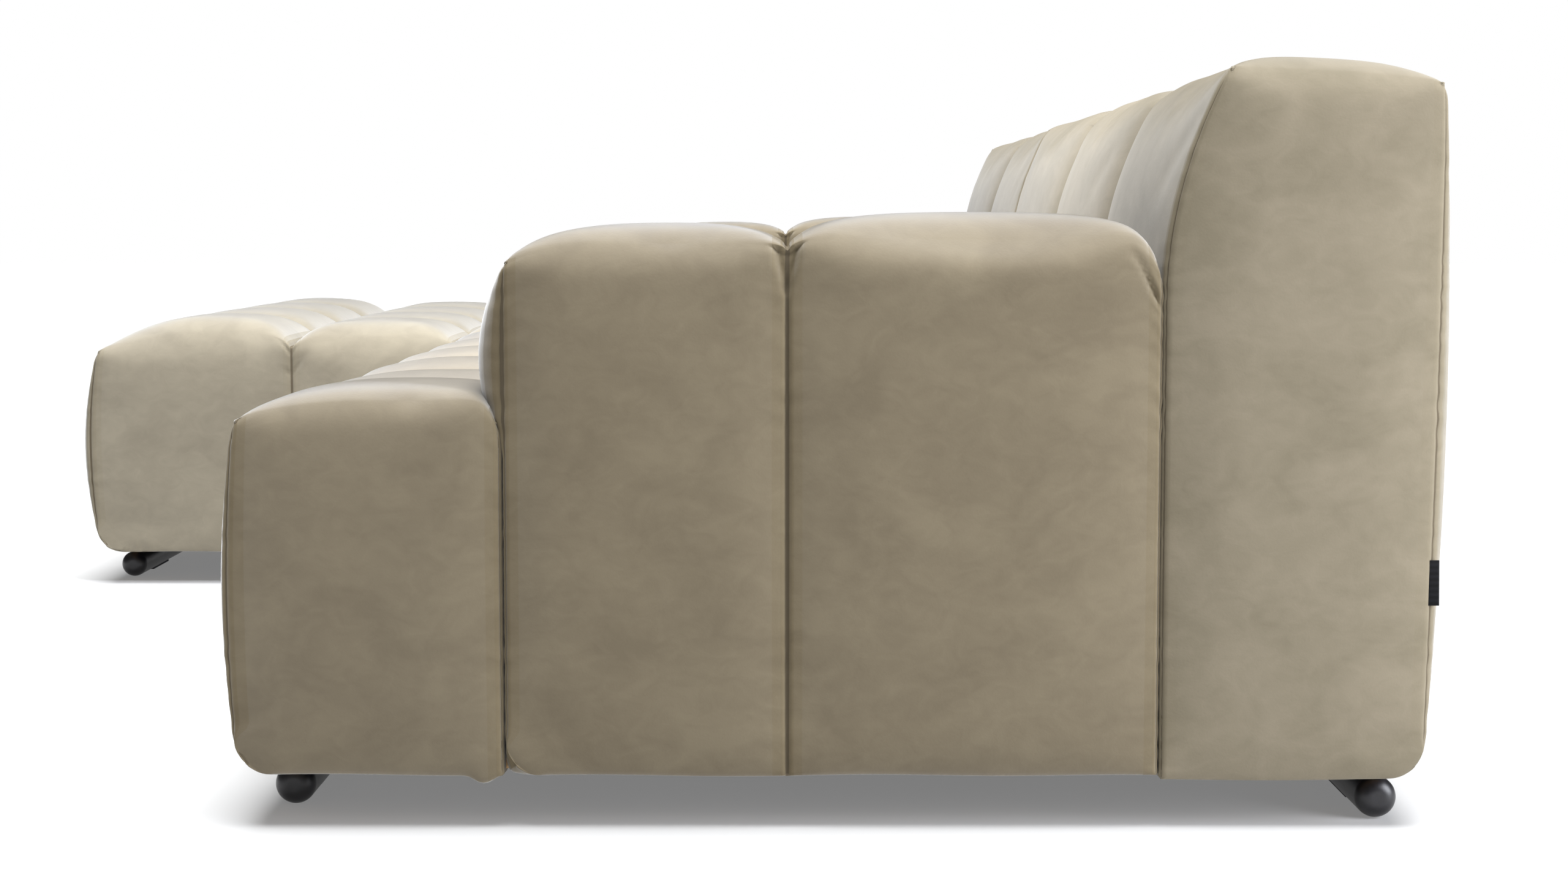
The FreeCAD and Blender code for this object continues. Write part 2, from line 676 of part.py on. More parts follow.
def connector_screw(x, y, z, direction, room):
    """A countersunk screw whose head is flush with the plate at x, or its hole when given room."""
    start = Vector(x, y, z)
    head = Part.makeCone(SCREW_HEAD_RADIUS + room, SCREW_RADIUS + room, SCREW_HEAD, start, direction)
    shank = rod(SCREW_RADIUS + room, SCREW_LENGTH + room, start, direction)
    return head.fuse(shank).removeSplitter()


def connector_screws(unit, room=0.0):
    """All screws of the plates on one unit."""
    inward = 1 if unit is SOFA else -1
    face = SOFA.frame_low - PLATE if unit is SOFA else CHAISE.frame_high + PLATE
    return [connector_screw(face, y, z, Vector(inward, 0, 0), room) for y, z in connector_screw_places()]


def connector_screw_holes():
    """Pilot holes in both facing end rails."""
    return connector_screws(SOFA, BOLT_ROOM) + connector_screws(CHAISE, BOLT_ROOM)


def connector_catches():
    """Plates with a raised bridge that the tongues slide behind."""
    base = SOFA.frame_low
    bridge_out = CHAISE.frame_high + PLATE + SLIDE_ROOM
    bridge_in = bridge_out + PLATE
    catches = []
    for y in CONNECTOR_Y:
        half_tongue = TONGUE_WIDTH / 2 + SLIDE_ROOM
        half_bridge = half_tongue + PLATE
        plate = box(base - PLATE, base, y - PLATE_WIDTH / 2, y + PLATE_WIDTH / 2, PLATE_BOTTOM, PLATE_TOP)
        bridge = box(bridge_out, base - PLATE, y - half_bridge, y + half_bridge, TONGUE_BOTTOM, BRIDGE_TOP)
        slot = box(bridge_in, base - PLATE, y - half_tongue, y + half_tongue, 0, PLATE_TOP)
        catch = plate.fuse(bridge.cut(slot)).removeSplitter()
        catches.append(catch.cut(connector_screws(SOFA, BOLT_ROOM / 2)))
    return Part.makeCompound(catches)


def connector_hooks():
    """Plates with a shoulder and a tongue that points down into the catch."""
    base = CHAISE.frame_high
    tongue_in = SOFA.frame_low - PLATE - SLIDE_ROOM
    tongue_out = base + PLATE + SLIDE_ROOM + PLATE + SLIDE_ROOM
    hooks = []
    for y in CONNECTOR_Y:
        plate = box(base, base + PLATE, y - PLATE_WIDTH / 2, y + PLATE_WIDTH / 2, PLATE_BOTTOM, PLATE_TOP)
        half = TONGUE_WIDTH / 2
        shoulder = box(base + PLATE, tongue_in, y - half, y + half, BRIDGE_TOP + SLIDE_ROOM, PLATE_TOP)
        tongue = box(tongue_out, tongue_in, y - half, y + half, TONGUE_BOTTOM, BRIDGE_TOP + SLIDE_ROOM)
        hook = plate.fuse([shoulder, tongue]).removeSplitter()
        hooks.append(hook.cut(connector_screws(CHAISE, BOLT_ROOM / 2)))
    return Part.makeCompound(hooks)


def make_connectors():
    save(connector_catches(), "connector_catches")
    save(connector_hooks(), "connector_hooks")
    save(Part.makeCompound(connector_screws(SOFA)), "connector_catch_screws")
    save(Part.makeCompound(connector_screws(CHAISE)), "connector_hook_screws")


os.makedirs("parts", exist_ok=True)
make_covers()
make_foam()
make_frame()
make_feet()
make_connectors()
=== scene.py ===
import math

import bpy
import numpy as np
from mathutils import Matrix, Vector


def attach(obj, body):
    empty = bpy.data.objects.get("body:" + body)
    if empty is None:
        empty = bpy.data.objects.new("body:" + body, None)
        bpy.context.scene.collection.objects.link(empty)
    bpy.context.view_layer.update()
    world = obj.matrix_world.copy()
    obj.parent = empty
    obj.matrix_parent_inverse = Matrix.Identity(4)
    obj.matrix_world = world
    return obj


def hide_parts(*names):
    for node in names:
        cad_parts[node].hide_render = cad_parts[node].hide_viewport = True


# Channel-tufted lounge sofa with a chaise, dressed in velvet.
# Metres in Blender; the upholsterer's sizes below are in millimetres.
# +X runs towards the sofa unit's arm, -Y is the front, +Z is up.
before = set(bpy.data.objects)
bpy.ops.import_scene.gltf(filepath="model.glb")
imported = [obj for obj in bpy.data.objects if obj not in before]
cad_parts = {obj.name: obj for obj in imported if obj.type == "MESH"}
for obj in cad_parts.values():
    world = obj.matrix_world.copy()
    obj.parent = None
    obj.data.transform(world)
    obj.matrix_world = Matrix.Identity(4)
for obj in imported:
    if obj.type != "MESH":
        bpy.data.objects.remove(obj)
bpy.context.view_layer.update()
MM = 0.001

# Seam planes
CHANNEL = 270.0             # one seat channel
END_SEAM = 1340.0           # corner seams of the two ends
SPLIT = -270.0              # plane between the two units
SPLIT_GAP = 1.0
CHAISE_FRONT = -835.0
CHAISE_ROW = -528.0
SEAT_FRONT = -270.0
ARM_FRONT = -17.0
ARM_ROW = 250.0
BACK_FRONT = 601.0
BACK_REAR = 851.0
JOIN_GAP = 0.7              # from a join between two covers to each cover

# Heights
SEAT_HEM = 51.5
ARM_HEM = 51.0
BACK_HEM = 47.0
SEAT_EDGE = 393.0
ROW_EDGE = 388.0
ARM_EDGE = 541.0
BACK_EDGE = 712.0
SKIRT = 362.0               # how far down the covers are tucked between each other
DECK = 236.0

# How the padding swells
CHANNEL_DEPTH = 18.0        # how far the top is drawn down at a channel seam
BACK_CHANNEL_DEPTH = 12.0
HEM_LEAST = 0.3             # share of the hem's rounding that is left away from the end panel
HEM_TURN = 20.0             # cover turned under the base
HEM_ROUND = 36.0            # radius of the hem's corner at an end panel
JOIN_DEPTH = 70.0           # how far a join between two covers is lined
FACE_REACH = 45.0           # how far behind a face its swelling still counts
CORNER_ROUND = 5.0          # radius of a roll where it is pinched into a corner
CROWN_FALL = 0.5            # how much of a crown is lost towards a channel seam
END_FALL = 0.15             # and towards the end of a cover
SEAM_DRAW = 2.8             # how far a finished seam is drawn in
SEAM_WIDTH = 2.4
SEAM_REACHES = (16.5, 7.2, 1.6)    # how far from a seam the pile is half pressed, pressed and sewn in, each step darker with painted shade
PUCKER = 0.6                # height of the small puckers beside a seam
PUCKER_REACH = 16.0
SWELL_STEPS = 16            # frames of the cloth simulation
SWELL_SLOPE = 0.5           # how steeply the swelling may rise from a seam
LOOSE_REACH = 40.0          # how far from a seam the velvet is cut with some fullness
LINING = 1.2                # thickness of the velvet with its backing
HUMP_HALF = 170.0           # how far from a channel seam the top rounds off towards it
HUMP_FRONT = 0.4            # share of that rounding on the front face
FOLD_HALF = 3.2             # half the width of a sewn-in fold
PINCH_DEPTH = 3.0           # how far a top corner is gathered in
PINCH_REACH = 11.0
PLEAT_BOTTOM = 500.0        # the arm's pleats run from here up to its top edge
PLEAT_HALF = 12.0
PLEAT_DEPTH = 5.0
PLEAT_EDGE = 3.0            # over this distance a pleat falls to its depth
GATHER_DEPTH = 2.8          # depth of the folds gathered into the chaise's seams
BELLY_BELOW = 40.0          # how far below the seat's edge the arm's front starts to swell
FLAP_Y = (-49.0, -23.0)     # loose end of the hem beside the arm
FLAP_DROP = 8.0
FLAP_EDGE = 5.0             # over this distance it drops
FLAP_RISE = 30.0            # how far up the cover it pulls
HEM_WAVE = 0.8              # how far the hem sags in waves
HEM_WAVE_RUN = 41.0         # a wave's length divided by two pi
LEAN_START = 500.0          # the back's front leans away above this height
LEAN_SPAN = 217.0
LEAN_BACK = 60.0            # how far it has leaned at the top
LEAN_RISE = 5.0             # how much higher the front of the top is than its middle
REAR_START = 80.0           # the rear leans out above this height
REAR_SPAN = 570.0
REAR_OUT = 8.0
JOIN_PRESS_AND_SHADE = 2.0            # a join presses the pile, and darkens it with painted shade, as much as this distance from a seam does
TAB_SIZE = (1.6, 10.0, 43.0)
TAB_PLACE = (END_SEAM, BACK_REAR + 6.0, 234.5)
ON_FACE = 0.1               # a grid point closer than this to a plane lies on it
FAR = 1e6                   # farther away than any point of the sofa


# Grid of a padded cover


def spread(stops, step, fine):
    """Grid lines through every stop, at fine distances beside it, and then no further apart than step."""
    lines = list(stops)
    for start, end in zip(stops, stops[1:]):
        lines += [start + distance for distance in fine] + [end - distance for distance in fine]
        edge = max(fine, default=0)
        count = math.ceil((end - start - 2 * edge) / step)
        lines += list(np.linspace(start + edge, end - edge, count + 1))
    return np.unique(np.round(lines, 3))


def box_skin(xs, ys, zs, keep):
    """Points and quads on the faces of a box of grid lines, where keep(face, x, y, z) wants the quad."""
    number, points, quads = {}, [], []
    last = (len(xs) - 1, len(ys) - 1, len(zs) - 1)
    lines = (xs, ys, zs)
    faces = (("left", 0, 0, 2, 1), ("right", 0, 1, 1, 2), ("front", 1, 0, 0, 2), ("rear", 1, 1, 2, 0),
             ("bottom", 2, 0, 1, 0), ("top", 2, 1, 0, 1))
    for face, axis, end, along, across in faces:
        for m in range(last[along]):
            for n in range(last[across]):
                keys = []
                for dm, dn in ((0, 0), (1, 0), (1, 1), (0, 1)):
                    key = [0, 0, 0]
                    key[axis] = end * last[axis]
                    key[along], key[across] = m + dm, n + dn
                    keys.append(tuple(key))
                middle = [(lines[a][keys[0][a]] + lines[a][keys[2][a]]) / 2 for a in range(3)]
                if not keep(face, *middle):
                    continue
                for key in keys:
                    if key not in number:
                        number[key] = len(points)
                        points.append([lines[a][key[a]] for a in range(3)])
                quads.append([number[key] for key in keys])
    return np.array(points), quads


def between(values, stops):
    """Which stretch between two stops each value lies in, and where in it, from -1 to 1."""
    stops = np.array(stops)
    index = np.clip(np.searchsorted(stops, values, side="right") - 1, 0, len(stops) - 2)
    low, high = stops[index], stops[index + 1]
    return index, 2 * (values - low) / (high - low) - 1


def roll(a, b, radius):
    """Distances a and b from the two planes of an edge, moved onto a roll of that radius."""
    near = (a < radius) & (b < radius)
    u, v = np.where(near, radius - a, 1), np.where(near, radius - b, 1)
    size = np.hypot(u, v)
    return np.where(near, radius - radius * u / size, a), np.where(near, radius - radius * v / size, b)


def pinched(radius, place):
    """A roll's radius along its edge, small where a seam pinches it."""
    return CORNER_ROUND + (radius - CORNER_ROUND) * pillow(place, 4)


def pillow(place, power):
    """How full the padding is between two seams: 0 on both of them, 1 well between them."""
    return 1 - np.abs(place) ** power


def crest(rows, row, place):
    """Height of a row's crown: each row has its front, middle and rear height and the two slopes' powers."""
    front, middle, rear, front_power, rear_power = np.array(rows)[row].T
    low = np.where(place < 0, front, rear)
    power = np.where(place < 0, front_power, rear_power)
    return middle - (middle - low) * np.abs(place) ** power


def beside(distance):
    """1 on a face of the cover, fading to 0 a little way behind it."""
    return np.clip(1 - distance / FACE_REACH, 0, 1) ** 2


def gap_to(values, stops):
    """Distance of each value from the nearest stop."""
    if len(stops) == 0:
        return np.full(len(values), FAR)
    return np.min(np.abs(np.subtract.outer(values, np.array(stops))), axis=1)


def shaped(grid, spec):
    """Sharp grid points moved onto the padded form, before the filling swells it."""
    gx, gy, gz = grid.T
    x, y, z = gx.copy(), gy.copy(), gz.copy()
    x0, x1, y0, y1 = spec["x"][0], spec["x"][-1], spec["y"][0], spec["y"][-1]
    z0, z1 = spec["z"]
    s, t = between(gx, spec["x"])[1], between(gy, spec["y"])[1]
    rolls = spec["roll"]
    a, b = roll(x1 - x, z1 - z, pinched(rolls["right"], t))
    x, z = x1 - a, z1 - b
    a, b = roll(x - x0, z1 - z, pinched(rolls["left"], t))
    x, z = x0 + a, z1 - b
    a, b = roll(y - y0, z1 - z, pinched(rolls["front"], s))
    y, z = y0 + a, z1 - b
    a, b = roll(y1 - y, z1 - z, pinched(rolls["rear"], s))
    y, z = y1 - a, z1 - b
    hem_round = HEM_ROUND * np.clip(1 - (x1 - gx) / spec["hem_depth"], HEM_LEAST, 1)
    if spec["hem"] == "front":
        a, b = roll(y - y0, z - z0, hem_round)
        y, z = y0 + a, z0 + b
    if spec["hem"] == "rear":
        a, b = roll(y1 - y, z - z0, hem_round)
        y, z = y1 - a, z0 + b
    # The fullness is read where the rolls have put each point, so it bends them without a crease
    rolled = (x, y, z)
    s = between(x, spec["x"])[1]
    row, t = between(y, spec["y"])
    height = np.clip((z - z0) / (z1 - z0), 0, 1)
    belly = 4 * height * (1 - height)
    swell, full = spec["swell"], spec["edge"] + (1 - spec["edge"]) * pillow(s, spec["puff"])
    crown = crest(spec["rows"], row, t) + np.where(gx > spec["x"][-2], spec["end_lift"] * pillow(t, 6), 0)
    at_end = (x < np.mean(spec["x"][:2])) | (x > np.mean(spec["x"][-2:]))
    crown = crown * (1 - np.where(at_end, END_FALL, CROWN_FALL) * s ** 4) * height ** 3
    gap = gap_to(x, spec["x"][1:-1])
    groove = spec["depth"] * np.exp(-(gap / spec["groove"]) ** 1.2)
    rounded = spec["hump"] * np.clip(1 - gap / HUMP_HALF, 0, 1) ** 2
    valley = spec["row_depth"] * np.exp(-(gap_to(y, spec["y"][1:-1]) / spec["row_groove"]) ** 1.2)
    wave = HEM_WAVE * (np.sin(gy / HEM_WAVE_RUN) - 1) * (1 - height) ** 8
    side = pillow(t, 8) * belly ** 0.6
    move_x = swell["right"] * side * beside(x1 - x) - swell["left"] * side * beside(x - x0)
    drawn_front = spec["draw"] * (groove + HUMP_FRONT * rounded)
    drawn_rear = spec["rear_draw"] * groove
    move_y = (drawn_front - swell["front"] * full * spec["belly"](z, belly)) * beside(y - y0)
    move_y = move_y + (swell["rear"] * full * belly ** 0.5 - drawn_rear) * beside(y1 - y)
    move_z = crown + wave - np.maximum((groove + rounded) * height ** 6, valley * height ** 10)
    return np.column_stack(spec["lean"](x + move_x, y + move_y, z + move_z, *rolled))


def seam_gap(grid, spec):
    """Distance of each grid point from the nearest seam on its face, and its place along that seam."""
    gx, gy, gz = grid.T
    x_ends, y_ends = (spec["x"][0], spec["x"][-1]), (spec["y"][0], spec["y"][-1])
    on_side, on_front = gap_to(gx, x_ends) < ON_FACE, gap_to(gy, y_ends) < ON_FACE
    on_top = spec["z"][1] - gz < ON_FACE
    corner = np.where(on_side | on_front, np.hypot(gap_to(gx, x_ends), gap_to(gy, y_ends)), FAR)
    channel = np.where(on_front | on_top, gap_to(gx, spec["x"][1:-1]), FAR)
    row = np.where(on_side | on_top, gap_to(gy, spec["y"][1:-1]), FAR)
    gap = np.minimum(np.minimum(corner, channel), row)
    along = np.where(on_top, np.where(channel < row, gy, gx), gz)
    return gap, along


def join_gap(grid, spec):
    """Distance of each grid point from the nearest face that is pressed against another cover."""
    faces = {"left": (0, spec["x"][0]), "right": (0, spec["x"][-1]), "front": (1, spec["y"][0]),
             "rear": (1, spec["y"][-1])}
    planes = [faces[name] for name in spec["joins"]]
    return np.min([np.abs(grid[:, axis] - place) for axis, place in planes], axis=0)


def select_only(piece):
    """Make one piece the selected and active one."""
    bpy.ops.object.select_all(action="DESELECT")
    piece.select_set(True)
    bpy.context.view_layer.objects.active = piece


def read_points(data, name):
    """Three numbers for each point of a mesh, as rows."""
    flat = np.empty(len(data) * 3)
    data.foreach_get(name, flat)
    return flat.reshape(-1, 3)


def positions(mesh):
    """Where a mesh's points are, in metres."""
    return read_points(mesh.vertices, "co")


def inflate(piece, held, gap, spec):
    """Swell the cover over its filling: cloth under pressure, sewn down at its seams, looser beside them."""
    start = positions(piece.data)
    loose = piece.vertex_groups.new(name="loose")
    for index, distance in enumerate(gap):
        loose.add([index], math.exp(-distance / LOOSE_REACH), "REPLACE")
    sewn = piece.vertex_groups.new(name="sewn")
    sewn.add(np.flatnonzero(held).tolist(), 1.0, "REPLACE")
    cloth = piece.modifiers.new("swell", "CLOTH")
    cloth.settings.quality = 5
    cloth.settings.mass = 0.3
    cloth.settings.tension_stiffness = 15
    cloth.settings.compression_stiffness = 15
    cloth.settings.shear_stiffness = 5
    cloth.settings.bending_stiffness = 3
    cloth.settings.use_pressure = True
    cloth.settings.uniform_pressure_force = spec["pressure"]
    cloth.settings.effector_weights.gravity = 0
    cloth.settings.vertex_group_mass = "sewn"
    cloth.settings.vertex_group_shrink = "loose"
    cloth.settings.shrink_max = -spec["fullness"]
    cloth.collision_settings.use_collision = False
    select_only(piece)
    for step in range(1, SWELL_STEPS + 1):
        bpy.context.scene.frame_set(step)
    bpy.ops.object.modifier_apply(modifier="swell")
    bpy.context.scene.frame_set(1)
    moved = positions(piece.data) - start
    size = np.linalg.norm(moved, axis=1)
    cap = MM * np.clip(SWELL_SLOPE * gap, 1e-6, spec["cap"])
    moved *= (cap * np.tanh(size / cap) / np.maximum(size, 1e-9))[:, None]
    piece.data.vertices.foreach_set("co", (start + moved).ravel())
    piece.vertex_groups.clear()


def make_cover(name, node, body, spec):
    """One padded velvet cover that stands for a CAD cover."""
    stops = (spec["x"], spec["y"], spec["z"])
    lines = [spread(*sizes) for sizes in zip(stops, spec["step"], (spec["fine"], spec["fine"], ()))]
    grid, quads = box_skin(*lines, spec["keep"])
    mesh = bpy.data.meshes.new(name)
    mesh.from_pydata(shaped(grid, spec) * MM, [], quads)
    piece = bpy.data.objects.new(name, mesh)
    bpy.context.collection.objects.link(piece)
    for pile in spec["piles"]:
        mesh.materials.append(pile)
    mesh.attributes.new("grid", "FLOAT_VECTOR", "POINT").data.foreach_set("vector", grid.ravel())
    gap = seam_gap(grid, spec)[0]
    held = (gap < ON_FACE) | open_edge(mesh)
    inflate(piece, held, gap, spec)
    sew(piece, spec)
    hang(piece, node, body)
    return piece


def open_edge(mesh):
    """Points on the cover's free edge, where it is stapled under the base or tucked away."""
    count = {}
    for polygon in mesh.polygons:
        for key in polygon.edge_keys:
            count[key] = count.get(key, 0) + 1
    free = np.zeros(len(mesh.vertices), bool)
    for (a, b), uses in count.items():
        if uses == 1:
            free[a] = free[b] = True
    return free


def pinches(grid, spec):
    """Gathers at the top corners, where the upright seams end."""
    total = np.zeros(len(grid))
    for x in (spec["x"][0], spec["x"][-1]):
        for y in (spec["y"][0], spec["y"][-1]):
            across = np.hypot(grid[:, 0] - x, grid[:, 1] - y)
            down = spec["z"][1] - grid[:, 2]
            total += PINCH_DEPTH * np.exp(-(np.hypot(across, down) / PINCH_REACH) ** 2)
    return total


def fold(grid, side, start, end, depth):
    """A fold on the side at X side, deep at its start, in Y and Z, and fading towards its end."""
    line = np.subtract(end, start)
    point = grid[:, 1:] - start
    along = np.clip(point @ line / (line @ line), 0, 1)
    gap = np.linalg.norm(point - along[:, None] * line, axis=1)
    return depth * (1 - along ** 2) * np.exp(-(gap / FOLD_HALF) ** 2) * (np.abs(grid[:, 0] - side) < ON_FACE)


def ripple(along):
    """Uneven small waves along a seam."""
    short = np.sin(along / 3.3 + 2.1 * np.sin(along / 41))
    long = 0.6 * np.sin(along / 5.7 + 1.3 * np.sin(along / 67))
    strength = 0.45 + 0.55 * np.sin(along / 53 + 0.8) * np.sin(along / 29)
    return (short + long) * strength


def sew(piece, spec):
    """Smooth the swollen cover, draw its seams in, pucker the velvet beside them and line it."""
    select_only(piece)
    smooth = piece.modifiers.new("smooth", "SUBSURF")
    smooth.levels = smooth.render_levels = 1
    bpy.ops.object.modifier_apply(modifier="smooth")
    mesh = piece.data
    grid = read_points(mesh.attributes["grid"].data, "vector")
    normals = read_points(mesh.vertices, "normal")
    gap, along = seam_gap(grid, spec)
    inward = np.maximum(SEAM_DRAW * np.exp(-(gap / SEAM_WIDTH) ** 2), spec["folds"](grid))
    inward += PUCKER * ripple(along) * np.exp(-gap / PUCKER_REACH) * (gap > ON_FACE)
    inward += pinches(grid, spec)
    place = positions(mesh) - normals * (inward * MM)[:, None]
    mesh.vertices.foreach_set("co", place.ravel())
    # Painted shade: nearness to a seam, which darkens the velvet there as if shade fell in the groove
    seam_shade_mark = mesh.attributes.new("seam", "FLOAT", "POINT")
    seam_shade_mark.data.foreach_set("value", np.exp(-(gap / SEAM_WIDTH) ** 2))
    mesh.attributes.remove(mesh.attributes["grid"])
    corners = np.empty(len(mesh.loops), int)
    mesh.loops.foreach_get("vertex_index", corners)
    # Painted shade: faces near a seam or a join take pressed copies of the velvet with less sheen, darker as
    # if shade fell in the groove
    near = np.minimum(gap, join_gap(grid, spec) + JOIN_PRESS_AND_SHADE)
    reach = near[corners.reshape(-1, 4)].max(axis=1)
    pressed = np.sum([reach < limit for limit in SEAM_REACHES], axis=0)
    mesh.polygons.foreach_set("material_index", pressed)
    bpy.ops.object.shade_smooth()
    lining = piece.modifiers.new("lining", "SOLIDIFY")
    lining.thickness = LINING * MM
    bpy.ops.object.modifier_apply(modifier="lining")


def hang(piece, node, body):
    """Hang the cover on its unit."""
    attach(piece, body)
    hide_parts(node)


# Materials

SEAM_SHADE_COLOUR = "#5d5445"     # painted shade: velvet pressed flat in a seam, darkened as if shade fell in its groove
GRAIN_STRETCH = 0.06        # how fast timber's noise changes along the grain, against 1 across it


def linear(colour):
    """An sRGB hex colour as linear red, green, blue and alpha."""
    parts = [int(colour[n:n + 2], 16) / 255 for n in (1, 3, 5)]
    return tuple(c / 12.92 if c <= 0.04045 else ((c + 0.055) / 1.055) ** 2.4 for c in parts) + (1.0,)


def add(tree, kind, inputs=None, **settings):
    """Add a node with its settings; inputs are values, or other nodes' outputs to link."""
    made = tree.nodes.new(kind)
    for name, value in settings.items():
        setattr(made, name, value)
    for socket, value in (inputs or {}).items():
        if isinstance(value, bpy.types.NodeSocket):
            tree.links.new(value, made.inputs[socket])
        else:
            made.inputs[socket].default_value = value
    return made


def new_material(name):
    """An empty material with its shader, ready for nodes."""
    material = bpy.data.materials.new(name)
    material.use_nodes = True
    return material, material.node_tree, material.node_tree.nodes["Principled BSDF"]


def make_velvet(name, dark, light, glow):
    """Cut-pile velvet: matt, brushed into soft lighter and darker patches, paler at a glancing view."""
    # Brushed patches are about 110 mm across and strokes 30 mm; the pile is drawn at 2 mm, coarser than it is
    material, tree, shader = new_material(name)
    place = add(tree, "ShaderNodeTexCoord")
    brushed = add(tree, "ShaderNodeMapping", {"Vector": place.outputs["Object"], "Scale": (1.0, 1.0, 1.5)})
    patches = add(tree, "ShaderNodeTexNoise",
                  {"Vector": brushed.outputs[0], "Scale": 9.0, "Detail": 3.0, "Roughness": 0.55,
                   "Distortion": 0.8})
    strokes = add(tree, "ShaderNodeTexNoise",
                  {"Vector": brushed.outputs[0], "Scale": 34.0, "Detail": 4.0, "Roughness": 0.6,
                   "Distortion": 1.0})
    nap = add(tree, "ShaderNodeMix",
              {"Factor": 0.35, "A": patches.outputs["Fac"], "B": strokes.outputs["Fac"]})
    tone = add(tree, "ShaderNodeValToRGB", {"Fac": nap.outputs[0]})
    tone.color_ramp.elements[0].position, tone.color_ramp.elements[1].position = 0.36, 0.64
    tone.color_ramp.elements[0].color = linear(dark)
    tone.color_ramp.elements[1].color = linear(light)
    # Painted shade: close to a seam the colour darkens towards the seam colour, as if shade fell in its
    # groove
    sewn = add(tree, "ShaderNodeAttribute", attribute_name="seam")
    shade = add(tree, "ShaderNodeMapRange", {"Value": sewn.outputs["Fac"], "From Min": 0.45, "To Max": 0.8})
    colour = add(tree, "ShaderNodeMix", {"Factor": shade.outputs[0], "A": tone.outputs[0],
                                         "B": linear(SEAM_SHADE_COLOUR)}, data_type="RGBA")
    pile = add(tree, "ShaderNodeTexNoise",
               {"Vector": place.outputs["Object"], "Scale": 420.0, "Detail": 2.0, "Roughness": 0.6})
    bump = add(tree, "ShaderNodeBump", {"Strength": 0.12, "Distance": 0.001, "Height": pile.outputs["Fac"]})
    tree.links.new(colour.outputs[2], shader.inputs["Base Color"])
    tree.links.new(bump.outputs[0], shader.inputs["Normal"])
    shader.inputs["Roughness"].default_value = 0.9
    shader.inputs["Specular IOR Level"].default_value = 0.15
    shader.inputs["Sheen Weight"].default_value = glow
    shader.inputs["Sheen Roughness"].default_value = 0.5
    shader.inputs["Sheen Tint"].default_value = linear("#f3f6fb")
    return material


def make_piles(name, dark, light, glow):
    """The same velvet lying freely, half pressed and pressed beside a seam with less sheen as painted shade,
    and then the seam's own painted shade.
    """
    states = (("", 1.0), (", half pressed, in painted half shade", 0.55), (", pressed, in painted shade", 0.2))
    return [make_velvet(name + state, dark, light, share * glow) for state, share in states] + [seam_shade_velvet]


def grained(name, dark, light, stretch, scale, roughness, bump=0.1, depth=0.0005, detail=4.0):
    """A two-tone material whose noise is stretched along its grain, fibres or weave."""
    material, tree, shader = new_material(name)
    place = add(tree, "ShaderNodeTexCoord")
    along = add(tree, "ShaderNodeMapping", {"Vector": place.outputs["Object"], "Scale": stretch})
    grain = add(tree, "ShaderNodeTexNoise", {"Vector": along.outputs[0], "Scale": scale, "Detail": detail,
                                             "Roughness": 0.6, "Distortion": 0.4})
    tone = add(tree, "ShaderNodeValToRGB", {"Fac": grain.outputs["Fac"]})
    tone.color_ramp.elements[0].position, tone.color_ramp.elements[1].position = 0.35, 0.65
    tone.color_ramp.elements[0].color = linear(dark)
    tone.color_ramp.elements[1].color = linear(light)
    relief = add(tree, "ShaderNodeBump",
                 {"Strength": bump, "Distance": depth, "Height": grain.outputs["Fac"]})
    rough = add(tree, "ShaderNodeMapRange", {"Value": grain.outputs["Fac"], "To Min": roughness - 0.06,
                                             "To Max": roughness + 0.06})
    tree.links.new(tone.outputs[0], shader.inputs["Base Color"])
    tree.links.new(rough.outputs[0], shader.inputs["Roughness"])
    tree.links.new(relief.outputs[0], shader.inputs["Normal"])
    return material, shader


def make_lacquer():
    """Black lacquer on turned beech: satin, with the faint grain that shows through it."""
    material, shader = grained("satin black lacquered beech", "#0c0b0f", "#151319",
                               (0.08, 1.0, 1.0), 260.0, 0.42)
    shader.inputs["Coat Weight"].default_value = 0.25
    shader.inputs["Coat Roughness"].default_value = 0.35
    return material


def make_timber(axis):
    """Planed spruce: pale, with long darker year rings about 6 mm apart along each member."""
    stretch = [GRAIN_STRETCH if other == axis else 1.0 for other in "XYZ"]
    name = f"planed spruce, grain along {axis}"
    return grained(name, "#a97f52", "#d3ae7c", stretch, 160.0, 0.62, bump=0.2)[0]


def make_foam():
    """Cream upholstery foam: matt, with open cells of about 1 mm."""
    material, shader = grained("cream cut foam", "#cdbf96", "#e9dfbd", (1.0, 1.0, 1.0), 900.0, 0.92, bump=0.6)
    shader.inputs["Subsurface Weight"].default_value = 0.1
    shader.inputs["Subsurface Radius"].default_value = (0.004, 0.003, 0.002)
    return material


def woven(name, dark, light, pitch, roughness):
    """A plain weave of two crossing sets of threads, pitch millimetres apart."""
    material, tree, shader = new_material(name)
    place = add(tree, "ShaderNodeTexCoord")
    threads = []
    for direction in ("X", "Y", "Z"):
        threads.append(add(tree, "ShaderNodeTexWave", {"Vector": place.outputs["Object"],
                                                       "Scale": 1000 / pitch / 20, "Distortion": 0.6,
                                                       "Detail": 2.0, "Detail Scale": 3.0},
                           bands_direction=direction))
    cross = add(tree, "ShaderNodeMath", {0: threads[0].outputs["Fac"], 1: threads[1].outputs["Fac"]},
                operation="MULTIPLY")
    cloth = add(tree, "ShaderNodeMath", {0: cross.outputs[0], 1: threads[2].outputs["Fac"]},
                operation="MAXIMUM")
    tone = add(tree, "ShaderNodeValToRGB", {"Fac": cloth.outputs[0]})
    tone.color_ramp.elements[0].color = linear(dark)
    tone.color_ramp.elements[1].color = linear(light)
    relief = add(tree, "ShaderNodeBump", {"Strength": 0.4, "Distance": 0.0004, "Height": cloth.outputs[0]})
    tree.links.new(tone.outputs[0], shader.inputs["Base Color"])
    tree.links.new(relief.outputs[0], shader.inputs["Normal"])
    shader.inputs["Roughness"].default_value = roughness
    shader.inputs["Specular IOR Level"].default_value = 0.2
    return material


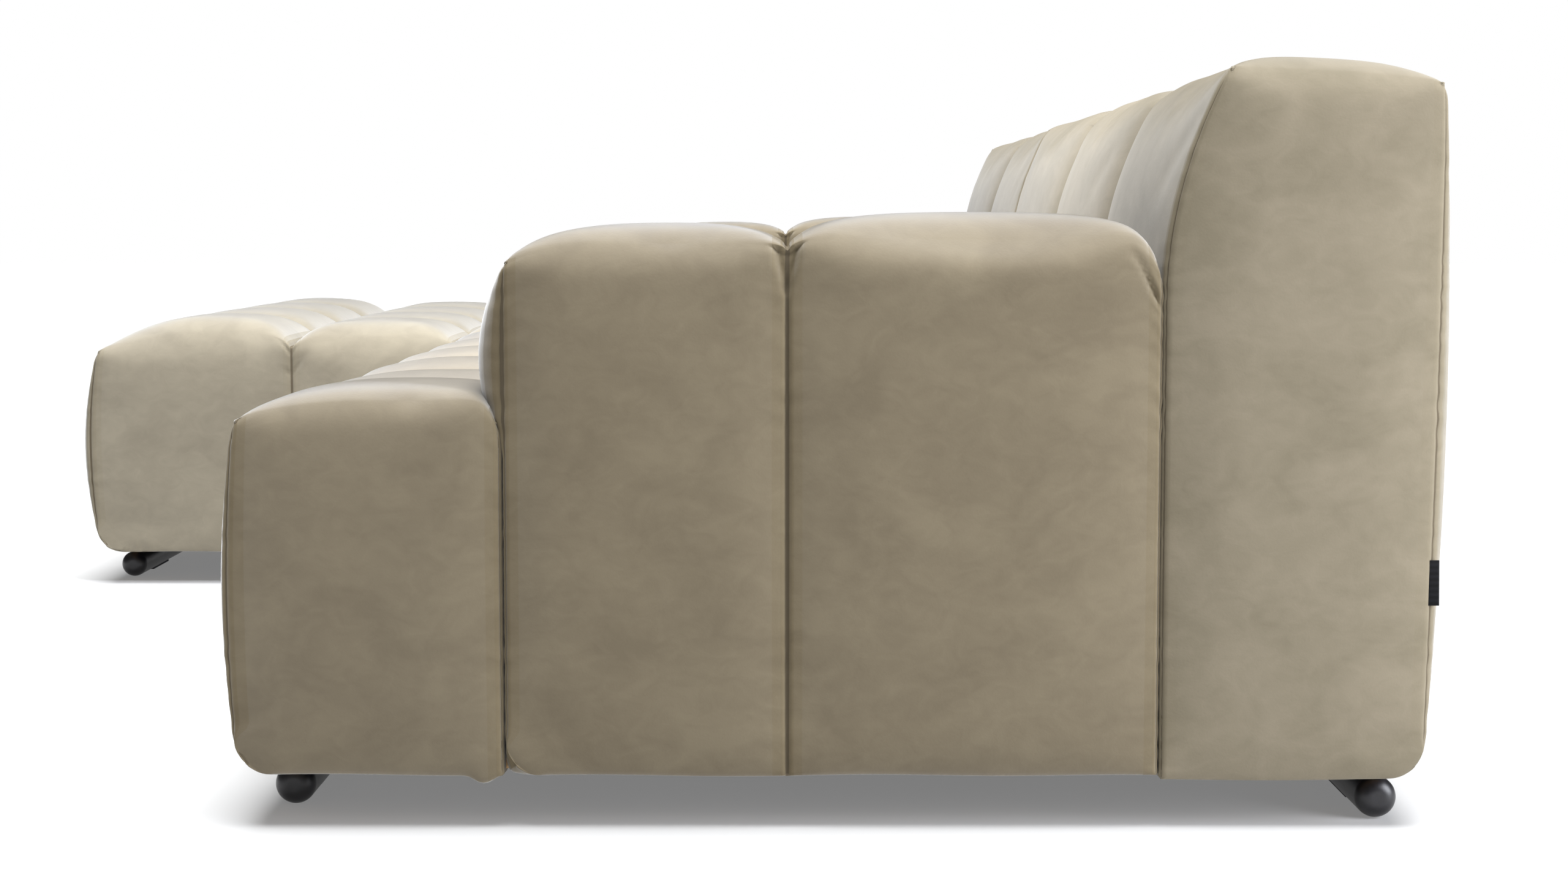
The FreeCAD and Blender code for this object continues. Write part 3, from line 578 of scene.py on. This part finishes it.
def make_zinc():
    """Bright zinc plating on steel: metallic, with faint cloudy crystals a few millimetres across."""
    material, tree, shader = new_material("zinc-plated steel")
    place = add(tree, "ShaderNodeTexCoord")
    crystals = add(tree, "ShaderNodeTexVoronoi", {"Vector": place.outputs["Object"], "Scale": 260.0})
    tone = add(tree, "ShaderNodeValToRGB", {"Fac": crystals.outputs["Color"]})
    tone.color_ramp.elements[0].color = linear("#a3a7ad")
    tone.color_ramp.elements[1].color = linear("#cdd0d4")
    rough = add(tree, "ShaderNodeMapRange",
                {"Value": crystals.outputs["Distance"], "To Min": 0.28, "To Max": 0.42})
    tree.links.new(tone.outputs[0], shader.inputs["Base Color"])
    tree.links.new(rough.outputs[0], shader.inputs["Roughness"])
    shader.inputs["Metallic"].default_value = 1.0
    return material


def make_felt():
    """Pressed felt glides: dark grey, with short matted fibres."""
    return grained("dark grey pressed felt", "#35343a", "#55545a", (1.0, 0.4, 1.0), 700.0, 0.95, bump=0.7)[0]


def make_foot_seat():
    """Moulded black plastic blocks: matt, with the fine spark-eroded grain of the mould."""
    return grained("black moulded plastic", "#161617", "#232325", (1.0, 1.0, 1.0), 1200.0, 0.55, bump=0.25)[0]


# Lit and shaded copies of one velvet, painted to match how the light falls on each part: more sheen on the
# seats, a paler tone on the chaise, less sheen and a paler tone on the backs, and a seam's own velvet in
# painted shade
# The seam's own velvet, dark and without sheen, is painted shade in the seam's groove
seam_shade_velvet = make_velvet("taupe velvet in a seam, in painted shade", "#524a3c", SEAM_SHADE_COLOUR, 0.0)
arm_piles = make_piles("taupe cut-pile velvet", "#6a5f4a", "#766b55", 0.85)
seat_piles = make_piles("taupe velvet brushed forwards", "#6a5f4a", "#766b55", 1.0)
chaise_piles = make_piles("taupe velvet brushed up", "#766e5d", "#837b69", 0.85)
back_piles = make_piles("taupe velvet brushed down", "#756d5b", "#827967", 0.24)
tape = woven("black woven tape", "#040405", "#0e0e11", 0.9, 0.8)
timber_x, timber_y, timber_z = (make_timber(axis) for axis in "XYZ")
zinc = make_zinc()
# The first entry whose word is in a node's name gives its material; other timber lies along Y.
FINISHES = (("foam", make_foam()), ("webbing", woven("elastic jute webbing", "#2b2723", "#4a433a", 2.4, 0.8)),
            ("dust_sheet", woven("black spun-bonded sheet", "#121213", "#232324", 1.6, 0.9)),
            ("foot_bar", make_lacquer()), ("foot_glides", make_felt()), ("foot_seats", make_foot_seat()),
            ("bolts", zinc), ("connector", zinc), ("posts", timber_z), ("front_rail", timber_x),
            ("rear_rail", timber_x), ("top_rail", timber_x), ("panel", timber_x), ("", timber_y))

# Covers

arm_inner = 4 * CHANNEL


def channels(low, high):
    """Channel seams between two ends, in steps from the middle of the sofa."""
    inside = [CHANNEL * n for n in range(-4, 5) if low + CHANNEL / 4 < CHANNEL * n < high - CHANNEL / 4]
    return [low] + inside + [high]


def upright(x, y, z, *rolled):
    """No lean."""
    return x, y, z


def leaning(x, y, z, gx, gy, gz):
    """The back's front curves away towards its top, and its rear leans out a little."""
    share = np.clip((BACK_REAR - gy) / (BACK_REAR - BACK_FRONT), 0, 1)
    above = np.clip((gz - LEAN_START) / LEAN_SPAN, 0, 1.1)
    out = np.clip((gz - REAR_START) / REAR_SPAN, 0, 1)
    y = y + LEAN_BACK * above ** 2 * share + REAR_OUT * out * (1 - share)
    return x, y, z + LEAN_RISE * (2 * share - 1) * above


def plain_belly(gz, belly):
    """The front swells over its whole height."""
    return belly


def arm_belly(gz, belly):
    """The arm's front swells only above the seat."""
    height = np.clip((gz - SEAT_EDGE + BELLY_BELOW) / (ARM_EDGE - SEAT_EDGE + BELLY_BELOW), 0, 1)
    return 4 * height * (1 - height)


def no_folds(grid):
    """A cover without gathers."""
    return np.zeros(len(grid))


def arm_folds(grid):
    """Pleats where the two halves of the arm are gathered into the top of their side seam."""
    total = np.zeros(len(grid))
    for side in (END_SEAM, arm_inner + JOIN_GAP):
        rise = np.clip((grid[:, 2] - PLEAT_BOTTOM) / (ARM_EDGE - PLEAT_BOTTOM), 0, 1)
        inside = np.clip((PLEAT_HALF * rise - np.abs(grid[:, 1] - ARM_ROW)) / PLEAT_EDGE, 0, 1)
        total += PLEAT_DEPTH * inside * (np.abs(grid[:, 0] - side) < ON_FACE)
        for lean in (-1, 1):
            top = (ARM_ROW + lean * PLEAT_HALF, ARM_EDGE)
            total += fold(grid, side, (ARM_ROW, PLEAT_BOTTOM), top, 2.0)
            total += fold(grid, side, top, (ARM_ROW + lean, PLEAT_BOTTOM), 3.0)
        # One more gather, beside the back
        total += fold(grid, side, (BACK_FRONT - 6, 500), (BACK_FRONT - 34, 528), 4.0)
    return total


def chaise_folds(grid):
    """Two gathers on the side, one under the other, where the first two rows meet, and three at the hem."""
    side = chaise_high
    upper, lower = (CHAISE_ROW, 368), (CHAISE_ROW, 332)
    folds = [(upper, (CHAISE_ROW - 24, 394)), (upper, (CHAISE_ROW + 8, 384)),
             (lower, (CHAISE_ROW - 11, 340)), (lower, (CHAISE_ROW + 25, 362))]
    folds += [((y, 52), (y - 16, 82)) for y in (-800, -781, -764)]
    return np.max([fold(grid, side, start, end, GATHER_DEPTH) for start, end in folds], axis=0)


def loose_hem(x, y, z, gx, gy, gz):
    """The seat block's hem hangs a little lower in a loose end beside the arm."""
    inside = np.clip((gy - FLAP_Y[0]) / FLAP_EDGE, 0, 1) * np.clip((FLAP_Y[1] - gy) / FLAP_EDGE, 0, 1)
    outer = np.clip(1 - (END_SEAM - gx) / HEM_TURN, 0, 1)
    low = np.clip(1 - (gz - SEAT_HEM) / FLAP_RISE, 0, 1)
    return x, y, z - FLAP_DROP * inside * outer * low


# What a cover has unless its own entry says otherwise, with lengths in millimetres:
# depth is how far a channel seam is drawn into the top, draw and rear_draw are the shares of it on the front
# and the rear, groove is its width, and hump how far the top rounds off towards it.
# row_depth and row_groove are the depth and width of a row seam.
# edge is the fullness left at a channel seam, puff how squarely a channel fills, and end_lift how far the
# end panel rises. pressure and fullness drive the swelling, and cap is its limit.
# fine and each cover's step space its grid, rows are its crowns (see crest), and joins are the faces that
# lie against other covers.
BASE = {
    "depth": CHANNEL_DEPTH, "draw": 0.5, "rear_draw": 0.0, "groove": 16.0, "hump": 0.0,
    "row_depth": 0.0, "row_groove": 18.0, "edge": 0.3, "puff": 10, "end_lift": 0.0,
    "fine": (2.5, 6.0), "hem": None, "hem_depth": FAR, "belly": plain_belly, "lean": upright,
    "folds": no_folds, "piles": arm_piles, "joins": ("rear",),
    "pressure": 1.5, "fullness": 0.005, "cap": 8.0}


# Which quads of its box each cover keeps: the rest is open under the base or tucked between other covers


def near_end(distance, low, high, value):
    """True within that distance of either end."""
    return value < low + distance or value > high - distance


def sofa_front_faces(face, x, y, z):
    """The front row is open under the base and behind it, where the seat rows follow."""
    if face == "rear":
        return z > SKIRT or x > 4 * CHANNEL
    if face == "bottom":
        return y < SEAT_FRONT + HEM_TURN or x > END_SEAM - HEM_TURN
    return True


def seat_faces(face, x, y, z):
    """The seat rows show only their top and a skirt tucked between the other covers."""
    return face == "top" or (face != "bottom" and z > SKIRT)


def arm_faces(face, x, y, z):
    """The arm reaches the hem outside, and the deck inside."""
    if face == "left":
        return z > DECK
    if face == "rear":
        return z > SKIRT or x > END_SEAM - JOIN_DEPTH
    if face == "bottom":
        return x > END_SEAM - HEM_TURN
    return True


def back_faces(face, x, y, z):
    """The back reaches the hem outside, and the deck inside."""
    if face == "front":
        return z > DECK or abs(x) > END_SEAM - JOIN_DEPTH
    if face == "bottom":
        return y > BACK_REAR - HEM_TURN or abs(x) > END_SEAM - HEM_TURN
    return True


def chaise_front_faces(face, x, y, z):
    """The chaise's front rows are open under the base and behind."""
    if face == "rear":
        return z > SKIRT or x < -4 * CHANNEL
    if face == "bottom":
        return y < CHAISE_FRONT + HEM_TURN or near_end(HEM_TURN, -END_SEAM, SPLIT, x)
    return True


def sides(front, rear, left, right):
    """One size for each upright side of a cover."""
    return {"front": front, "rear": rear, "left": left, "right": right}


sofa_low, chaise_high = SPLIT + SPLIT_GAP, SPLIT - SPLIT_GAP
rear_rows = [ARM_FRONT + JOIN_GAP, ARM_ROW, BACK_FRONT - JOIN_GAP]
SEAT = BASE | {
    "y": rear_rows, "z": (SKIRT, ROW_EDGE), "fine": (3.0, 7.0), "keep": seat_faces,
    "joins": ("left", "right", "front", "rear"), "draw": 0.0, "piles": seat_piles,
    "rows": [(0, 26, 0, 4, 4), (0, 26, 0, 4, 4)], "row_depth": 18.0,
    "swell": sides(0.0, 0.0, 0.0, 0.0), "roll": sides(14.0, 14.0, 14.0, 14.0)}
BACK = BASE | {
    "y": [BACK_FRONT + JOIN_GAP, BACK_REAR], "z": (BACK_HEM, BACK_EDGE), "keep": back_faces,
    "rows": [(0, 13, -5, 4, 3)], "edge": 0.15, "hem": "rear", "piles": back_piles, "lean": leaning,
    "depth": BACK_CHANNEL_DEPTH, "draw": 1.0, "rear_draw": 0.5, "groove": 20.0, "hump": 13.0, "puff": 12,
    "fullness": 0.0, "cap": 5.0}

make_cover("sofa_front_row", "sofa_front_cover", "sofa_unit", BASE | {
    "x": channels(sofa_low, END_SEAM), "y": [SEAT_FRONT, ARM_FRONT - JOIN_GAP], "z": (SEAT_HEM, SEAT_EDGE),
    "step": (13, 9, 9), "keep": sofa_front_faces, "piles": seat_piles, "rows": [(-5, 18, -14, 2, 12)],
    "hem": "front", "hem_depth": 60.0, "edge": 0.5, "hump": 10.0, "end_lift": 7.0, "lean": loose_hem,
    "joins": ("left", "rear"),
    "swell": sides(18.0, 0.0, 0.0, 9.0), "roll": sides(30.0, 14.0, 14.0, 28.0)})
make_cover("sofa_seat_rows", "sofa_seat_cover", "sofa_unit", SEAT | {
    "x": channels(sofa_low, arm_inner - JOIN_GAP), "step": (13, 12, 9)})
right_arm = make_cover("right_arm", "right_arm_cover", "sofa_unit", BASE | {
    "x": [arm_inner + JOIN_GAP, END_SEAM], "y": rear_rows, "z": (ARM_HEM, ARM_EDGE), "step": (13, 8, 8),
    "fine": (3.0, 6.0, 10.0), "keep": arm_faces, "hem": "front", "hem_depth": 14.0,
    "rows": [(-6, 27, 8, 4, 7), (8, 35, -18, 8, 12)], "edge": 0.0, "folds": arm_folds, "belly": arm_belly,
    "swell": sides(27.0, 0.0, 8.0, 9.0), "roll": sides(30.0, 14.0, 40.0, 40.0)})
make_cover("sofa_back", "sofa_back_cover", "sofa_unit", BACK | {
    "x": [sofa_low, CHANNEL, 3 * CHANNEL, END_SEAM], "step": (15, 9, 10), "joins": ("left",),
    "swell": sides(6.0, 24.0, 0.0, 9.0), "roll": sides(40.0, 30.0, 14.0, 40.0)})
make_cover("chaise_front_rows", "chaise_front_cover", "chaise_unit", BASE | {
    "x": channels(-END_SEAM, chaise_high), "y": [CHAISE_FRONT, CHAISE_ROW, SEAT_FRONT, ARM_FRONT - JOIN_GAP],
    "z": (SEAT_HEM, ROW_EDGE), "step": (15, 12, 9), "fine": (3.0, 7.0, 12.0), "folds": chaise_folds,
    "keep": chaise_front_faces, "hem": "front", "hem_depth": 60.0, "piles": chaise_piles,
    "rows": [(-20, 34, 2, 2, 4), (2, 26, 2, 4, 4), (2, 26, 0, 4, 4)], "edge": 0.45, "row_depth": 14.0,
    "swell": sides(30.0, 0.0, 9.0, 0.0), "roll": sides(34.0, 14.0, 50.0, 60.0)})
make_cover("chaise_seat_rows", "chaise_seat_cover", "chaise_unit", SEAT | {
    "x": channels(-arm_inner + JOIN_GAP, chaise_high), "step": (15, 12, 9)})
# The far arm is the near one mirrored
left_arm = bpy.data.objects.new("left_arm", right_arm.data.copy())
bpy.context.collection.objects.link(left_arm)
left_arm.data.vertices.foreach_set("co", (positions(left_arm.data) * (-1, 1, 1)).ravel())
left_arm.data.flip_normals()
hang(left_arm, "left_arm_cover", "chaise_unit")
make_cover("chaise_back", "chaise_back_cover", "chaise_unit", BACK | {
    "x": [-END_SEAM, -3 * CHANNEL, chaise_high], "step": (15, 10, 11), "fine": (3.0, 7.0),
    "joins": ("right",),
    "swell": sides(6.0, 24.0, 9.0, 0.0), "roll": sides(40.0, 30.0, 40.0, 14.0)})

# Blank tab in the rear corner seam


def make_tab():
    """A short folded tape: a thin block, divided, its long edges rounded, tapered and twisted a little."""
    bpy.ops.object.select_all(action="DESELECT")
    bpy.ops.mesh.primitive_cube_add(size=1)
    tab = bpy.context.object
    tab.name = "blank_tab"
    bpy.ops.object.mode_set(mode="EDIT")
    bpy.ops.mesh.select_all(action="SELECT")
    bpy.ops.transform.resize(value=[size * MM for size in TAB_SIZE])
    bpy.ops.mesh.bevel(offset=0.4 * MM, segments=3)
    bpy.ops.mesh.subdivide(number_cuts=3)
    bpy.ops.object.mode_set(mode="OBJECT")
    for method, amount in (("TAPER", -0.12), ("TWIST", math.radians(7))):
        bend = tab.modifiers.new(method, "SIMPLE_DEFORM")
        bend.deform_method = method
        bend.deform_axis = "Z"
        bend.factor = amount
        bend.angle = amount
        bpy.ops.object.modifier_apply(modifier=method)
    bpy.ops.transform.translate(value=[place * MM for place in TAB_PLACE])
    bpy.ops.object.transform_apply(location=True, rotation=True, scale=True)
    bpy.ops.object.shade_smooth_by_angle(angle=math.radians(40))
    tab.data.materials.append(tape)
    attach(tab, "sofa_unit")
    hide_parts("seam_tab")


make_tab()

# Frame, feet and fittings keep their CAD shapes
for node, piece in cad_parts.items():
    piece.data.materials.clear()
    piece.data.materials.append(next(finish for word, finish in FINISHES if word in node))

# Studio
FLOOR_SIZE = 60
FLOOR_GLOW = 0.2            # keeps the shadow under the sofa as light as in a white studio
SKY_LIGHT = 0.08            # the white surround lights the sofa only faintly
OVERHEAD_POWER = 8.5
OVERHEAD_ANGLE = 44         # degrees across, as a large overhead diffuser
bpy.ops.object.select_all(action="DESELECT")
bpy.ops.mesh.primitive_plane_add(size=FLOOR_SIZE)
floor = bpy.context.object
floor.name = "floor"
floor_material, floor_tree, floor_shader = new_material("pale studio floor")
floor_shader.inputs["Base Color"].default_value = linear("#a8a8a8")
floor_shader.inputs["Roughness"].default_value = 0.9
floor_shader.inputs["Emission Color"].default_value = linear("#ffffff")
floor_shader.inputs["Emission Strength"].default_value = FLOOR_GLOW
floor.data.materials.append(floor_material)

world = bpy.data.worlds.new("studio")
bpy.context.scene.world = world
world.use_nodes = True
sky = world.node_tree.nodes["Background"]
rays = add(world.node_tree, "ShaderNodeLightPath")
level = add(world.node_tree, "ShaderNodeMapRange",
            {"Value": rays.outputs["Is Camera Ray"], "To Min": SKY_LIGHT})
world.node_tree.links.new(level.outputs[0], sky.inputs["Strength"])
sky.inputs["Color"].default_value = (1, 1, 1, 1)

bpy.ops.object.light_add(type="SUN", location=(0, 0, 4))
overhead = bpy.context.object
overhead.name = "overhead"
overhead.data.energy = OVERHEAD_POWER
overhead.data.color = linear("#fdfeff")[:3]
overhead.data.angle = math.radians(OVERHEAD_ANGLE)
overhead.rotation_euler = (math.radians(-1), 0, 0)


def softbox(name, place, target, size, power):
    """A square studio lamp aimed at a point."""
    bpy.ops.object.light_add(type="AREA", location=place)
    lamp = bpy.context.object
    lamp.name = name
    lamp.data.size = size
    lamp.data.energy = power
    lamp.data.color = linear("#f4f7ff")[:3]
    lamp.rotation_euler = (Vector(target) - Vector(place)).to_track_quat("-Z", "Y").to_euler()


softbox("side_softbox", (2.0, 2.0, 0.7), (1.34, 0.8, 0.4), 1.0, 42)
softbox("seat_softbox", (0.6, 0.05, 1.35), (-0.3, -0.6, 0.2), 0.35, 28)

camera = bpy.data.objects.new("camera", bpy.data.cameras.new("camera"))
bpy.context.collection.objects.link(camera)
bpy.context.scene.camera = camera
camera.location = (3.68, 0.247, 0.573)
camera.rotation_euler = (math.radians(85), 0, math.radians(90))
camera.data.sensor_width = 36
camera.data.lens = 57.74
bpy.context.scene.view_settings.view_transform = "Standard"
